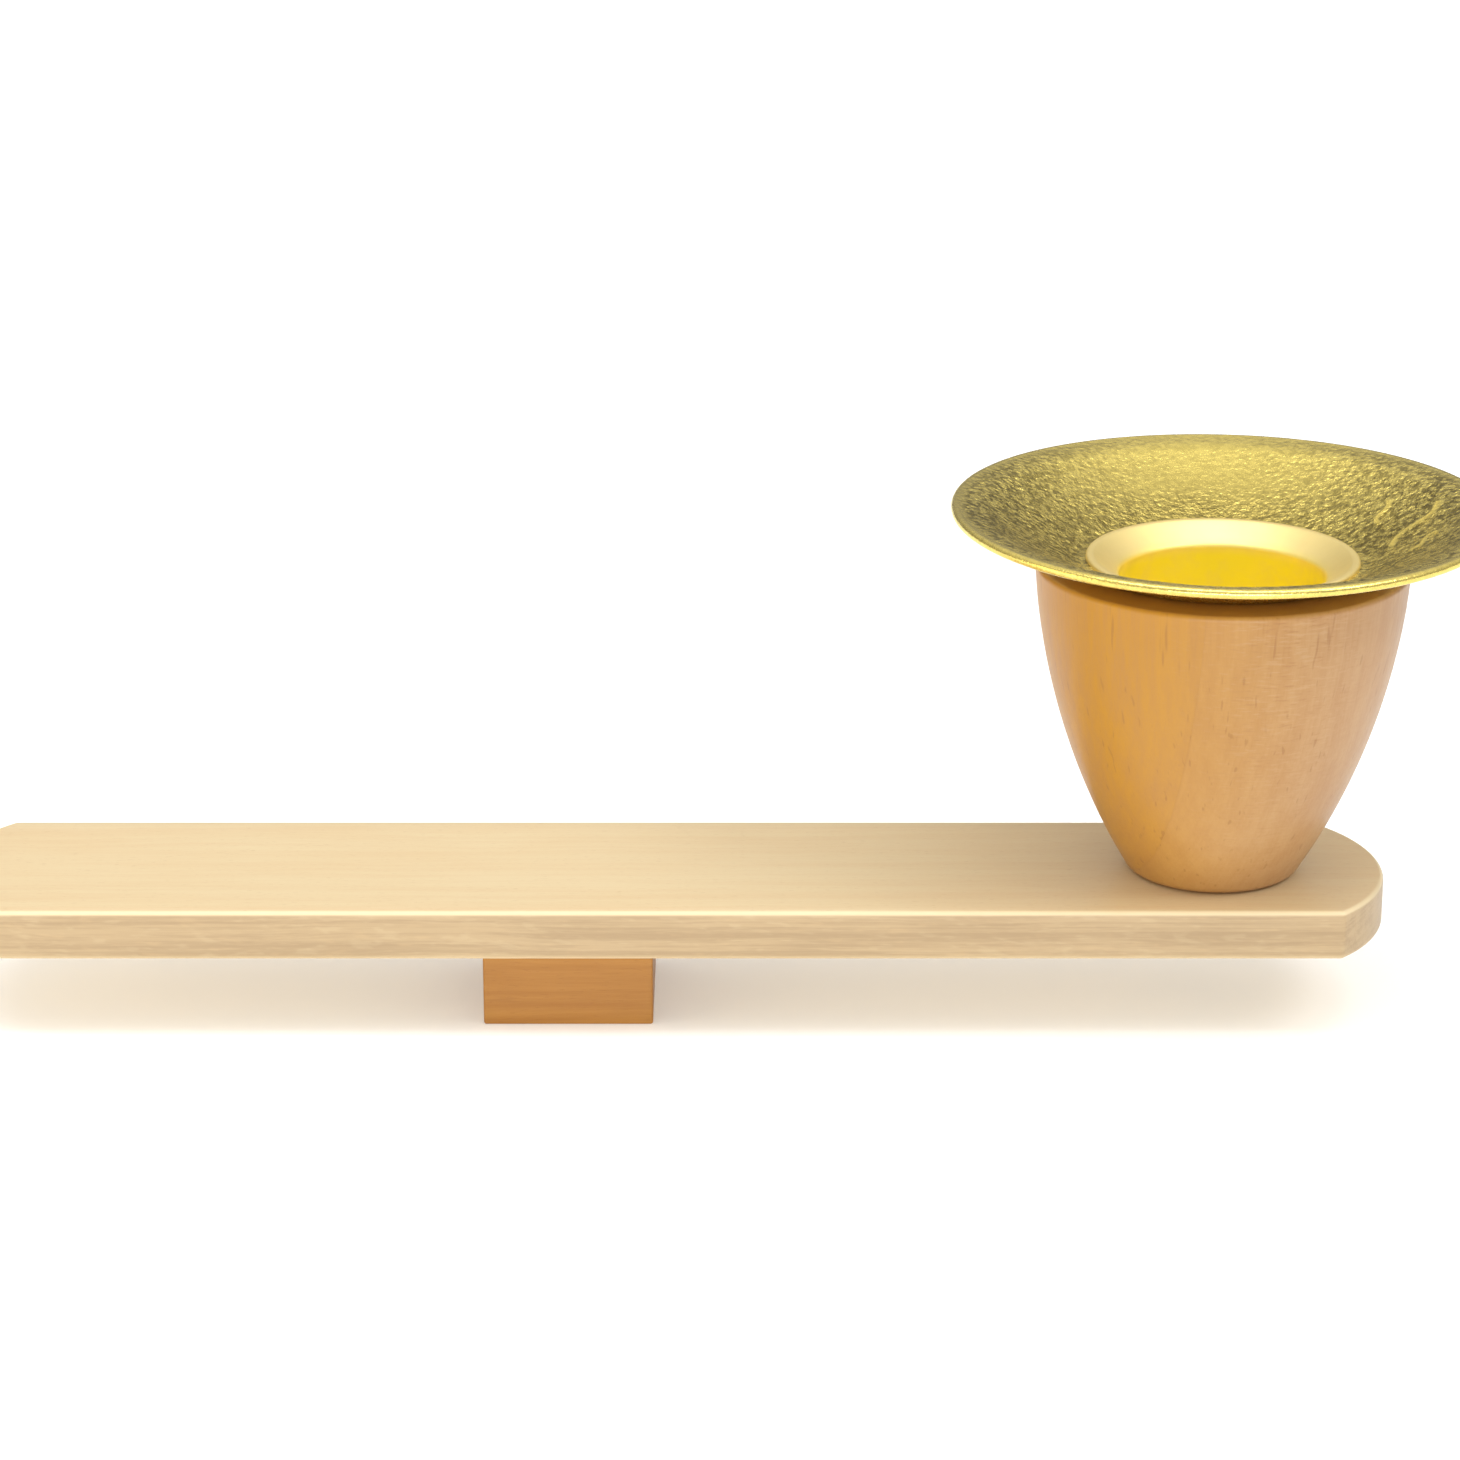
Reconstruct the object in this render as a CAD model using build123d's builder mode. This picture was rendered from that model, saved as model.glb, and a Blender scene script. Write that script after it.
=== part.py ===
from build123d import *
import os
from math import hypot

# A candle rack for a church or hall: one beech board with bowed ends, carried on a square
# block, with a turned beech cup at its right-hand end. A dished brass drip pan lies on the
# cup, and a spun brass candle socket drops through the pan into the cup and holds the pan
# down by its lip. Everything is in millimetres.
#
# Frame: the origin is the mouth of the threaded insert, in the middle of the block's
# underside. +X runs along the board towards the cup, +Y to the back and +Z up.

# ---- Board ----
board_length = 514.0
board_width = 92.0
board_thickness = 18.0
board_end_radius = 65.0      # plan radius of the bowed ends
board_corner_round = 2.5     # the four upright corners
board_edge_round = 2.0       # the top and bottom outlines

# ---- Block under the board ----
block_side = 60.0
block_height = 31.0
block_edge_round = 1.0
block_to_cup = 229.0         # from the block's middle to the cup's axis
cup_to_end = 61.0            # from the cup's axis to the board's right-hand end

# ---- Turned cup ----
cup_height = 113.0
cup_top_radius = 65.4
cup_foot_radius = 29.6       # where the side would meet the board, before rounding
cup_side_radius = 248.0      # the side is one long arc
cup_top_round = 1.6
cup_foot_round = 5.5

# ---- Candle socket, spun from sheet brass ----
candle_diameter = 70.0
candle_play = 1.0            # radial
socket_sheet = 1.0
socket_depth = 38.0          # straight part, throat to floor
socket_cone_width = 9.2      # from the straight wall out to the crown
socket_cone_drop = 6.9       # from the crown down to the throat
lip_crown_width = 2.5        # from the end of the cone to the lip's outer edge
lip_height = 1.5             # the crown, above the pan
lip_edge_round = 1.2
crown_round = 2.5
throat_round = 2.5
floor_round = 3.0

# ---- Drip pan, dished sheet brass ----
pan_radius = 95.0
pan_rise = 21.1              # from the cup's top to the top of the rim
pan_sheet = 1.0
pan_floor_margin = 2.3       # level floor past the lip
pan_brim_width = 10.5        # the flatter outer band
pan_brim_rise = 1.8
pan_bead_radius = 1.7        # the edge, rolled under
pan_bend_radius = 6.0

# ---- Clearances ----
socket_play = 0.4            # radial, between the straight wall and the wood
mouth_play = 0.5             # between the socket's cone and the wood
pan_hole_play = 0.35         # between the socket's cone and the pan's hole
socket_floor_gap = 0.6
glue_gap = 0.05              # radial, round dowels, inserts and driven screws
thread_gap = 0.1             # radial, between a bolt and its insert
bolt_hole_play = 0.5
washer_play = 1.0
screw_play = 0.3
driver_play = 1.0            # round a screw's head
hole_end_gap = 1.0           # past the end of a dowel, screw or insert

# ---- Cup fasteners: one M8 bolt from below, and two dowels against turning ----
bolt_radius = 4.0
bolt_bite = 13.0             # how far the bolt enters the cup
bolt_head_radius = 7.0
bolt_head_height = 4.4
bolt_head_round = 2.2
bolt_key_radius = 2.9        # across the corners of the key's socket
bolt_key_depth = 2.8
bolt_seat_depth = 8.0        # counterbore in the board's underside
washer_radius = 12.0
washer_thickness = 2.0
cup_insert_radius = 6.25
cup_insert_length = 18.0
dowel_radius = 4.0
dowel_in_board = 10.0
dowel_in_cup = 13.0
dowel_chamfer = 0.8
dowel_wood = 2.0             # between the counterbore and a dowel
dowel_edge_wood = 1.0        # between a dowel and the rounding of the cup's foot

# ---- Block fasteners: two wood screws from below, and an M10 insert for the stand ----
screw_radius = 2.25
screw_length = 35.0
screw_bite = 12.0            # how far a screw enters the board
screw_point = 5.0
screw_head_radius = 4.25
screw_head_height = 2.3
screw_margin = 10.0          # from the block's side to the screw's axis
screw_slot_length = 4.4
screw_slot_width = 1.0
screw_slot_depth = 1.2
stand_thread_radius = 4.25
stand_insert_radius = 7.75
stand_insert_length = 20.0
insert_rib_count = 4
insert_rib_depth = 0.7

# ---- Heights and places, worked out from the sizes above ----
board_top = block_height + board_thickness
cup_top = board_top + cup_height
board_right = block_to_cup + cup_to_end
board_left = board_right - board_length
bow = board_end_radius - (board_end_radius**2 - (board_width / 2) ** 2) ** 0.5

socket_bore_radius = candle_diameter / 2 + candle_play
crown_radius = socket_bore_radius + socket_cone_width
lip_radius = crown_radius + lip_crown_width
crown_height = pan_sheet + lip_height
throat_height = crown_height - socket_cone_drop
floor_height = throat_height - socket_depth
cone_slope = socket_cone_drop / socket_cone_width
cone_sheet = socket_sheet * hypot(1, cone_slope)     # the sheet, measured straight down
cup_bore_radius = socket_bore_radius + socket_sheet + socket_play
cup_bore_depth = socket_sheet + socket_floor_gap - floor_height

bead_centre_radius = pan_radius - pan_bead_radius
bead_centre_height = pan_rise - pan_bead_radius
pan_floor_radius = lip_radius + pan_floor_margin
brim_inner_radius = pan_radius - pan_brim_width

bolt_seat = block_height + bolt_seat_depth
cup_counterbore_radius = washer_radius + washer_play
dowel_offset = cup_counterbore_radius + dowel_wood + dowel_radius
dowel_places = [(block_to_cup, dowel_offset), (block_to_cup, -dowel_offset)]
dowel_reach = dowel_offset + dowel_radius + dowel_edge_wood
screw_offset = block_side / 2 - screw_margin
screw_places = [(screw_offset, 0), (-screw_offset, 0)]
screw_recess = block_height + screw_bite - screw_length

cup_axis = Axis((block_to_cup, 0, 0), (0, 0, 1))
cup_section = Plane(origin=(block_to_cup, 0, cup_top), x_dir=(1, 0, 0), z_dir=(0, -1, 0))
upwards = (Align.CENTER, Align.CENTER, Align.MIN)
downwards = (Align.CENTER, Align.CENTER, Align.MAX)

os.makedirs("parts", exist_ok=True)


def save(piece, name):
    """Labels a finished piece and writes it as its own node."""
    piece.part.label = name
    export_step(piece.part, f"parts/{name}.step")


def under_cone(height):
    """Radius of the underside of the socket's cone at a height above the cup's top."""
    return crown_radius + (height - crown_height + cone_sheet) / cone_slope


def ribbed_insert(thread_radius, outer_radius, length, base):
    """A brass insert standing on the plane base: a bush with grooves turned round it."""
    rib_pitch = length / insert_rib_count
    section = Plane(origin=base.origin, x_dir=(1, 0, 0), z_dir=(0, -1, 0))
    with BuildPart() as insert:
        with BuildSketch(section):
            with Locations((thread_radius, 0)):
                Rectangle(outer_radius - thread_radius, length, align=(Align.MIN, Align.MIN))
            with Locations((outer_radius, length / 2)):
                with GridLocations(1, rib_pitch, 1, insert_rib_count):
                    RegularPolygon(insert_rib_depth, 4, mode=Mode.SUBTRACT)
        revolve(axis=Axis(base.origin, (0, 0, 1)))
    return insert


# ---- Board: bowed ends, a bolt hole and two dowel holes at the cup, two screw holes ----
with BuildPart() as board:
    with BuildSketch(Plane.XY.offset(block_height)):
        with BuildLine():
            half = board_width / 2
            Line((board_left + bow, -half), (board_right - bow, -half))
            ThreePointArc((board_right - bow, -half), (board_right, 0), (board_right - bow, half))
            Line((board_right - bow, half), (board_left + bow, half))
            ThreePointArc((board_left + bow, half), (board_left, 0), (board_left + bow, -half))
        make_face()
    extrude(amount=board_thickness)
    fillet(board.edges().filter_by(Axis.Z), board_corner_round)
    fillet(board.faces().filter_by(Axis.Z).edges(), board_edge_round)
    with Locations((block_to_cup, 0, block_height)):
        bolt_hole_radius = bolt_radius + bolt_hole_play
        Cylinder(bolt_hole_radius, board_thickness, align=upwards, mode=Mode.SUBTRACT)
        Cylinder(cup_counterbore_radius, bolt_seat_depth, align=upwards, mode=Mode.SUBTRACT)
    with Locations(*[(x, y, block_height) for x, y in screw_places]):
        pilot_depth = screw_bite + hole_end_gap
        Cylinder(screw_radius + glue_gap, pilot_depth, align=upwards, mode=Mode.SUBTRACT)
    with Locations(*[(x, y, board_top) for x, y in dowel_places]):
        dowel_hole_depth = dowel_in_board + hole_end_gap
        Cylinder(dowel_radius + glue_gap, dowel_hole_depth, align=downwards, mode=Mode.SUBTRACT)
save(board, "board")

# ---- Support block: a square of beech with the insert's hole and two screw holes ----
with BuildPart() as support_block:
    with BuildSketch():
        Rectangle(block_side, block_side)
    extrude(amount=block_height)
    fillet(support_block.edges().filter_by(Axis.Z), block_edge_round)
    chamfer(support_block.faces().sort_by(Axis.Z)[0].edges(), block_edge_round)
    insert_hole_depth = stand_insert_length + hole_end_gap
    Cylinder(stand_insert_radius + glue_gap, insert_hole_depth, align=upwards, mode=Mode.SUBTRACT)
    with Locations(*[(x, y, 0) for x, y in screw_places]):
        Cylinder(screw_radius + screw_play, block_height, align=upwards, mode=Mode.SUBTRACT)
        Cylinder(screw_head_radius + driver_play, screw_recess, align=upwards, mode=Mode.SUBTRACT)
    with Locations(*[(x, y, screw_recess) for x, y in screw_places]):
        Cone(
            screw_head_radius + screw_play,
            screw_radius + screw_play,
            screw_head_height,
            align=upwards,
            mode=Mode.SUBTRACT,
        )
save(support_block, "support_block")

# ---- Block screws: two countersunk wood screws with crossed slots, heads down ----
with BuildPart() as wood_screw:
    with BuildSketch(Plane.XZ):
        with BuildLine():
            Polyline(
                (0, 0),
                (screw_head_radius, 0),
                (screw_radius, screw_head_height),
                (screw_radius, screw_length - screw_point),
                (0, screw_length),
                close=True,
            )
        make_face()
    revolve(axis=Axis.Z)
    with BuildSketch():
        Rectangle(screw_slot_length, screw_slot_width)
        Rectangle(screw_slot_width, screw_slot_length)
    extrude(amount=screw_slot_depth, mode=Mode.SUBTRACT)

with BuildPart() as block_screws:
    with Locations(*[(x, y, screw_recess) for x, y in screw_places]):
        add(wood_screw.part)
save(block_screws, "block_screws")

# ---- Stand insert: the thread that the stand's rod screws into ----
stand_insert = ribbed_insert(
    stand_thread_radius, stand_insert_radius, stand_insert_length, Plane.XY
)
save(stand_insert, "stand_insert")

# ---- Cup: arc-sided and turned, with the socket's bore above and the insert's hole below ----
with BuildPart() as cup_body:
    with BuildSketch(cup_section):
        with BuildLine():
            foot = (cup_foot_radius, -cup_height)
            brim = (cup_top_radius, 0)
            Line((0, -cup_height), foot)
            RadiusArc(foot, brim, -cup_side_radius)
            Line(brim, (0, 0))
            Line((0, 0), (0, -cup_height))
        make_face()
    revolve(axis=cup_axis)
    fillet(cup_body.faces().sort_by(Axis.Z)[-1].edges(), cup_top_round)
    foot_round = min(cup_foot_round, cup_foot_radius - dowel_reach)
    fillet(cup_body.faces().sort_by(Axis.Z)[0].edges(), foot_round)
    with BuildSketch(cup_section):
        with BuildLine():
            mouth_radius = under_cone(0) + mouth_play
            mouth_depth = (mouth_radius - cup_bore_radius) * cone_slope
            Polyline(
                (0, 0),
                (mouth_radius, 0),
                (cup_bore_radius, -mouth_depth),
                (cup_bore_radius, -cup_bore_depth),
                (0, -cup_bore_depth),
                close=True,
            )
        make_face()
    revolve(axis=cup_axis, mode=Mode.SUBTRACT)
    with Locations((block_to_cup, 0, board_top)):
        insert_hole_depth = cup_insert_length + hole_end_gap
        Cylinder(cup_insert_radius + glue_gap, insert_hole_depth, align=upwards, mode=Mode.SUBTRACT)
    with Locations(*[(x, y, board_top) for x, y in dowel_places]):
        dowel_hole_depth = dowel_in_cup + hole_end_gap
        Cylinder(dowel_radius + glue_gap, dowel_hole_depth, align=upwards, mode=Mode.SUBTRACT)
save(cup_body, "cup_body")

# ---- Cup insert: the thread in the cup's foot ----
cup_foot_plane = Plane.XY.offset(board_top).shift_origin((block_to_cup, 0, board_top))
cup_insert = ribbed_insert(
    bolt_radius + thread_gap, cup_insert_radius, cup_insert_length, cup_foot_plane
)
save(cup_insert, "cup_insert")

# ---- Cup washer ----
with BuildPart() as cup_washer:
    with BuildSketch(Plane.XY.offset(bolt_seat - washer_thickness)):
        with Locations((block_to_cup, 0)):
            Circle(washer_radius)
            Circle(bolt_radius + bolt_hole_play, mode=Mode.SUBTRACT)
    extrude(amount=washer_thickness)
save(cup_washer, "cup_washer")

# ---- Cup bolt: a round-headed bolt with a hexagon socket, head down ----
with BuildPart() as cup_bolt:
    head_top = bolt_seat - washer_thickness
    with Locations((block_to_cup, 0, head_top)):
        Cylinder(bolt_head_radius, bolt_head_height, align=downwards)
    fillet(cup_bolt.faces().sort_by(Axis.Z)[0].edges(), bolt_head_round)
    with Locations((block_to_cup, 0, head_top)):
        Cylinder(bolt_radius, board_top + bolt_bite - head_top, align=upwards)
    chamfer(cup_bolt.faces().sort_by(Axis.Z)[-1].edges(), bolt_head_round / 2)
    with BuildSketch(Plane.XY.offset(head_top - bolt_head_height)):
        with Locations((block_to_cup, 0)):
            RegularPolygon(bolt_key_radius, 6)
    extrude(amount=bolt_key_depth, mode=Mode.SUBTRACT)
save(cup_bolt, "cup_bolt")

# ---- Cup dowels: two, across the board, that keep the cup from turning ----
with BuildPart() as cup_dowels:
    with Locations(*[(x, y, board_top - dowel_in_board) for x, y in dowel_places]):
        Cylinder(dowel_radius, dowel_in_board + dowel_in_cup, align=upwards)
    chamfer(cup_dowels.edges().filter_by(GeomType.CIRCLE), dowel_chamfer)
save(cup_dowels, "cup_dowels")

# ---- Drip pan: level floor, sloping side, flatter brim and a rolled edge ----
with BuildPart() as drip_pan:
    with BuildSketch(cup_section):
        with BuildLine():
            FilletPolyline(
                (under_cone(pan_sheet) + pan_hole_play, pan_sheet),
                (pan_floor_radius, pan_sheet),
                (brim_inner_radius, pan_rise - pan_brim_rise),
                (bead_centre_radius, pan_rise),
                radius=pan_bend_radius,
            )
            offset(amount=pan_sheet, side=Side.RIGHT)
        make_face()
        with Locations((bead_centre_radius, bead_centre_height)):
            Circle(pan_bead_radius)
    revolve(axis=cup_axis)
save(drip_pan, "drip_pan")

# ---- Candle socket: straight cup, sloping mouth and a lip turned down on to the pan ----
with BuildPart() as candle_socket:
    with BuildSketch(cup_section):
        with BuildLine():
            FilletPolyline(
                (0, floor_height),
                (socket_bore_radius, floor_height),
                (socket_bore_radius, throat_height),
                (crown_radius, crown_height),
                (lip_radius, crown_height),
                (lip_radius, pan_sheet),
                radius=[floor_round, throat_round, crown_round, lip_edge_round],
            )
            offset(amount=socket_sheet, side=Side.RIGHT)
        make_face()
    revolve(axis=cup_axis)
save(candle_socket, "candle_socket")
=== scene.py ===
import math

import bmesh
import bpy
import numpy as np
from bpy.props import FloatProperty, FloatVectorProperty, PointerProperty
from bpy.types import Operator, Panel, PropertyGroup
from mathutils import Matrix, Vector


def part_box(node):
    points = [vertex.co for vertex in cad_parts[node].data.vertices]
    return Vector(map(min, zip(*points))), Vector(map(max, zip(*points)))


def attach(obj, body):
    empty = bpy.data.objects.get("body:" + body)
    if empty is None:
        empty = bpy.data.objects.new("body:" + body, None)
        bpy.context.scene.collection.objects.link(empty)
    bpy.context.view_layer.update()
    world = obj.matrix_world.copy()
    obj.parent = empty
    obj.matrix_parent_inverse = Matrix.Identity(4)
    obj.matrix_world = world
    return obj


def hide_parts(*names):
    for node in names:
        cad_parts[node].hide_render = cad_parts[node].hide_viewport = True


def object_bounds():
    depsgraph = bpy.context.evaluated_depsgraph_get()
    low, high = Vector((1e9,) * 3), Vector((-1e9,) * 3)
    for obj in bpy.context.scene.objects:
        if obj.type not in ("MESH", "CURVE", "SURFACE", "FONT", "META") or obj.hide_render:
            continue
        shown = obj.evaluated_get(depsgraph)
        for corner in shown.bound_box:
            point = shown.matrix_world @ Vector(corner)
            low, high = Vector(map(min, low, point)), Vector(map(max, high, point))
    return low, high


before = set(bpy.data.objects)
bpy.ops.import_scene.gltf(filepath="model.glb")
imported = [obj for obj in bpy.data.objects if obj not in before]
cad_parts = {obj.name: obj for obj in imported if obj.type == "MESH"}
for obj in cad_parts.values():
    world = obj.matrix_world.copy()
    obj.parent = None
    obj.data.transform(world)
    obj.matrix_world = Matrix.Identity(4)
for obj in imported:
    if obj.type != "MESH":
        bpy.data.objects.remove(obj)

bl_info = {
    "name": "Candle rack",
    "version": (1, 0, 0),
    "blender": (4, 5, 0),
    "location": "3D View > Sidebar > Candle rack",
    "description": "Gives a beech and brass candle rack its wood grain and its hammered metal",
    "category": "Object",
}

# ---- Places and sizes read from the frame, in metres ----

MM = 0.001
CAD_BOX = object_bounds()
BOARD_LOW, BOARD_HIGH = map(np.array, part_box("board"))
BLOCK_LOW, BLOCK_HIGH = map(np.array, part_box("support_block"))
CUP_LOW, CUP_HIGH = map(np.array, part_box("cup_body"))
PAN_LOW, PAN_HIGH = map(np.array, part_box("drip_pan"))
SOCKET_LOW, SOCKET_HIGH = map(np.array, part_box("candle_socket"))
INSERT_LOW, INSERT_HIGH = map(np.array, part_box("cup_insert"))
WASHER_LOW, WASHER_HIGH = map(np.array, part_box("cup_washer"))
SCREWS_LOW, SCREWS_HIGH = map(np.array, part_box("block_screws"))
DOWELS_LOW, DOWELS_HIGH = map(np.array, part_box("cup_dowels"))
STAND_LOW, STAND_HIGH = map(np.array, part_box("stand_insert"))

CUP_AXIS = np.array([(INSERT_LOW[0] + INSERT_HIGH[0]) / 2, 0.0, 0.0])
CUP_TOP = CUP_HIGH[2]
BOARD_TOP = BOARD_HIGH[2]
PAN_RADIUS = min(PAN_HIGH[0] - PAN_LOW[0], PAN_HIGH[1] - PAN_LOW[1]) / 2
LIP_RADIUS = min(SOCKET_HIGH[0] - SOCKET_LOW[0], SOCKET_HIGH[1] - SOCKET_LOW[1]) / 2

# The room left round what is glued in, and the screws' places from their heads' radius.
GLUE_GAP = 0.05 * MM
SCREW_X = SCREWS_HIGH[0] - 4.25 * MM
SCREW_PLACES = ((SCREW_X, 0.0), (-SCREW_X, 0.0))

# How many points a rounded corner of a plan gets, and how many go once round each piece.
CORNER_POINTS = 8
CUP_COLUMNS = 240
PAN_COLUMNS = 780
SOCKET_COLUMNS = 300
DRILL_COLUMNS = 72
FLOOR_COLUMNS = 96


def screen(red, green, blue):
    """The linear colour of a screen colour given from 0 to 255."""
    values = np.array([red, green, blue]) / 255
    linear = np.where(values <= 0.04045, values / 12.92, ((values + 0.055) / 1.055) ** 2.4)
    return tuple(float(value) for value in linear)


def length(name, description, default):
    """A length that the user may change, given in millimetres."""
    return FloatProperty(
        name=name, description=description, default=default * MM, min=0.0, precision=5,
        subtype="DISTANCE", unit="LENGTH",
    )


def degrees(name, description, default):
    """An angle that the user may change, given in degrees."""
    return FloatProperty(
        name=name, description=description, default=math.radians(default), subtype="ANGLE",
        unit="ROTATION",
    )


def colour(name, description, default):
    """A colour that the user may change."""
    return FloatVectorProperty(
        name=name, description=description, default=default, size=3, min=0.0, max=1.0,
        subtype="COLOR",
    )


def share(name, description, default, top=1.0):
    """A plain number from nothing to top."""
    return FloatProperty(name=name, description=description, default=default, min=0.0, max=top)


# ---- What a user may change ----


class RackBeech(PropertyGroup):
    board_pale: colour("Board, pale", "Early wood of the board", screen(219, 198, 157))
    board_deep: colour("Board, deep", "Late wood of the board", screen(212, 180, 134))
    cup_pale: colour("Cup, pale", "Early wood of the cup", screen(178, 141, 98))
    cup_deep: colour("Cup, deep", "Late wood of the cup", screen(160, 115, 70))
    # Tone of the painted warm shade on the cup's left side.
    cup_left_shade: colour("Cup, warm", "Oiled wood on the cup's left", screen(181, 128, 24))
    block_pale: colour("Block, pale", "Early wood of the block", screen(175, 123, 50))
    block_deep: colour("Block, deep", "Late wood of the block", screen(146, 92, 24))
    ring_pitch: length("Ring pitch", "Width of one year's growth", 2.6)
    stave_seam: length("Stave seam", "From the cup's axis to the seam between its staves", 31.7)
    stave_turn: degrees("Stave turn", "How far the staves are turned about the cup's axis", 18)
    end_radius: length("End radius", "Plan radius of the board's bowed ends", 65.0)
    corner_round: length("Corner round", "Radius of the board's upright corners", 2.5)
    edge_round: length("Edge round", "Radius of the board's top and bottom outlines", 2.0)
    block_round: length("Block round", "Softening of the block's edges", 1.0)
    cup_side: length("Cup side", "Radius of the arc that is the cup's side", 248.0)
    cup_foot: length("Cup foot", "Radius where the side would meet the board", 29.6)
    cup_brim: length("Cup brim", "Radius where the side would meet the top", 65.4)
    foot_round: length("Foot round", "Rounding of the cup's foot", 5.5)
    brim_round: length("Brim round", "Rounding of the cup's outer top edge", 1.6)
    mouth_radius: length("Mouth radius", "Radius of the cup's sloped mouth", 44.03)
    bore_radius: length("Bore radius", "Radius of the cup's bore", 37.4)
    bore_depth: length("Bore depth", "Depth of the cup's bore", 44.0)
    mouth_slope: share("Mouth slope", "Fall of the mouth for each unit inwards", 0.75)


class RackPan(PropertyGroup):
    sheet: length("Sheet", "Thickness of the pan's brass", 1.0)
    hole_radius: length("Hole radius", "Radius of the hole that the socket drops through", 45.22)
    floor_radius: length("Floor radius", "Radius of the level floor", 50.0)
    brim_width: length("Brim width", "Width of the flatter outer band", 10.5)
    brim_rise: length("Brim rise", "Rise of that band to the rolled edge", 1.8)
    bead: length("Bead", "Radius of the edge, rolled under", 1.7)
    front_dip: length("Front dip", "How far the hammered rim is out of flat at the front", 2.6)
    bend: length("Bend", "Radius of the bend where the side leaves the floor", 6.0)
    brim_bend: length("Brim bend", "Radius of the bend where the side meets the brim", 20.0)
    dent_pitch: length("Dent pitch", "Spacing of the small hammer marks", 2.1)
    dent_depth: length("Dent depth", "Depth of the small hammer marks", 0.17)
    crease: length("Crease", "Height of the wandering creases", 0.65)
    brass: colour("Brass", "Bright brass of the pan", screen(242, 218, 120))
    # The tarnish colour also serves as painted shade on the pan's low back, by the socket's lip.
    tarnish: colour("Tarnish", "Brass in the bottom of a mark", screen(124, 108, 54))
    roughness: share("Roughness", "Roughness of the polished sheet", 0.24)


class RackSocket(PropertyGroup):
    sheet: length("Sheet", "Thickness of the socket's brass", 1.0)
    bore: length("Bore", "Radius of the straight part inside", 36.0)
    cone_width: length("Cone width", "From the straight wall out to the crown", 9.2)
    cone_drop: length("Cone drop", "From the crown down to the throat", 6.9)
    lip_rest: length("Lip rest", "Height of the lip's lower edge above the cup", 1.0)
    floor_round: length("Floor round", "Radius between the wall and the floor", 3.0)
    throat_round: length("Throat round", "Radius of the throat", 2.5)
    crown_round: length("Crown round", "Radius of the crown", 2.5)
    edge_round: length("Edge round", "Radius of the lip's outer edge", 1.2)
    brass: colour("Brass", "Spun brass of the lip", screen(253, 230, 158))
    # A painted reflection: the inside takes a purer yellow than the lip, for the light its brass
    # walls throw onto each other.
    inside_reflection_tint: colour("Inner brass", "Yellow brass of the inside", screen(252, 238, 90))
    roughness: share("Roughness", "Roughness of the polished lip", 0.45)
    inner_roughness: share("Inner roughness", "Roughness of the dull inside", 0.56)


class RackStage(PropertyGroup):
    floor: colour("Floor", "Colour of the pale floor", (0.82, 0.82, 0.81))
    sky: share("Sky", "Strength of the room's light", 0.92, 4.0)
    sun: share("Sun", "Strength of the key light", 0.75, 40.0)
    strip: share("Strip", "Strength of the long bright panel overhead", 4.7, 40.0)
    fill: share("Fill", "Power of the low light in front, in watts", 20.0, 400.0)
    glow: share("Glow", "Power of the weak warm light from the left, in watts", 4.0, 400.0)
    lens: FloatProperty(name="Lens", description="Focal length in millimetres", default=106.34)
    camera: FloatVectorProperty(
        name="Camera", description="Place of the camera", size=3, default=(0.0572, -1.442, 0.5932),
        subtype="TRANSLATION", unit="LENGTH",
    )
    tilt: degrees("Tilt", "Angle of the camera below the horizon", 18.88)


# ---- Shapes: profiles, grids and the meshes made from them ----


def rounded_line(corners, radii, step, run_step=None):
    """Points along straight runs that are joined by tangent arcs, no further apart than step.

    On the straight runs they may be run_step apart, where it is given.

    At a corner where the line turns by an angle a, an arc of radius R leaves the first run
    R tan(a/2) before the corner. With d the run's direction, n the normal on the side the
    line turns to and t from 0 to a, its points are: start + R sin(t) d + R (1 - cos(t)) n.
    """
    corners = np.asarray(corners, dtype=float)
    run_step = run_step or step
    pieces = [corners[:1]]
    here = corners[0]
    for corner, following, radius in zip(corners[1:-1], corners[2:], radii):
        before = (corner - here) / np.linalg.norm(corner - here)
        after = (following - corner) / np.linalg.norm(following - corner)
        cross = before[0] * after[1] - before[1] * after[0]
        turn = math.atan2(abs(cross), float(before @ after))
        normal = np.array([-before[1], before[0]]) * math.copysign(1, cross)
        start = corner - before * radius * math.tan(turn / 2)
        pieces.append(straight(here, start, run_step))
        angle = np.linspace(0, turn, max(4, math.ceil(radius * turn / step) + 1))[1:, None]
        arc = start + radius * (np.sin(angle) * before + (1 - np.cos(angle)) * normal)
        pieces.append(arc)
        here = arc[-1]
    pieces.append(straight(here, corners[-1], run_step))
    return np.concatenate(pieces)


def straight(start, end, step):
    """Points from start, which is left out, to end, evenly spaced."""
    count = max(1, math.ceil(np.linalg.norm(end - start) / step))
    return start + (end - start) * np.linspace(0, 1, count + 1)[1:, None]


def arc_between(start, end, radius, step):
    """Points on the shorter arc from start to end that bulges to the right of the way there.

    The centre lies to the left of the chord's middle, at the square root of the radius
    squared less half the chord squared. The points are the centre plus the radius times the
    unit vector whose angle runs from the start's to the end's.
    """
    start, end = np.asarray(start, float), np.asarray(end, float)
    chord = end - start
    half = np.linalg.norm(chord) / 2
    left = np.array([-chord[1], chord[0]]) / (2 * half)
    centre = (start + end) / 2 + left * math.sqrt(radius**2 - half**2)
    first = math.atan2(*(start - centre)[::-1])
    last = math.atan2(*(end - centre)[::-1])
    angle = np.linspace(first, last, max(3, math.ceil(radius * abs(last - first) / step)))
    return centre + radius * np.stack([np.cos(angle), np.sin(angle)], axis=-1)


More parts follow.
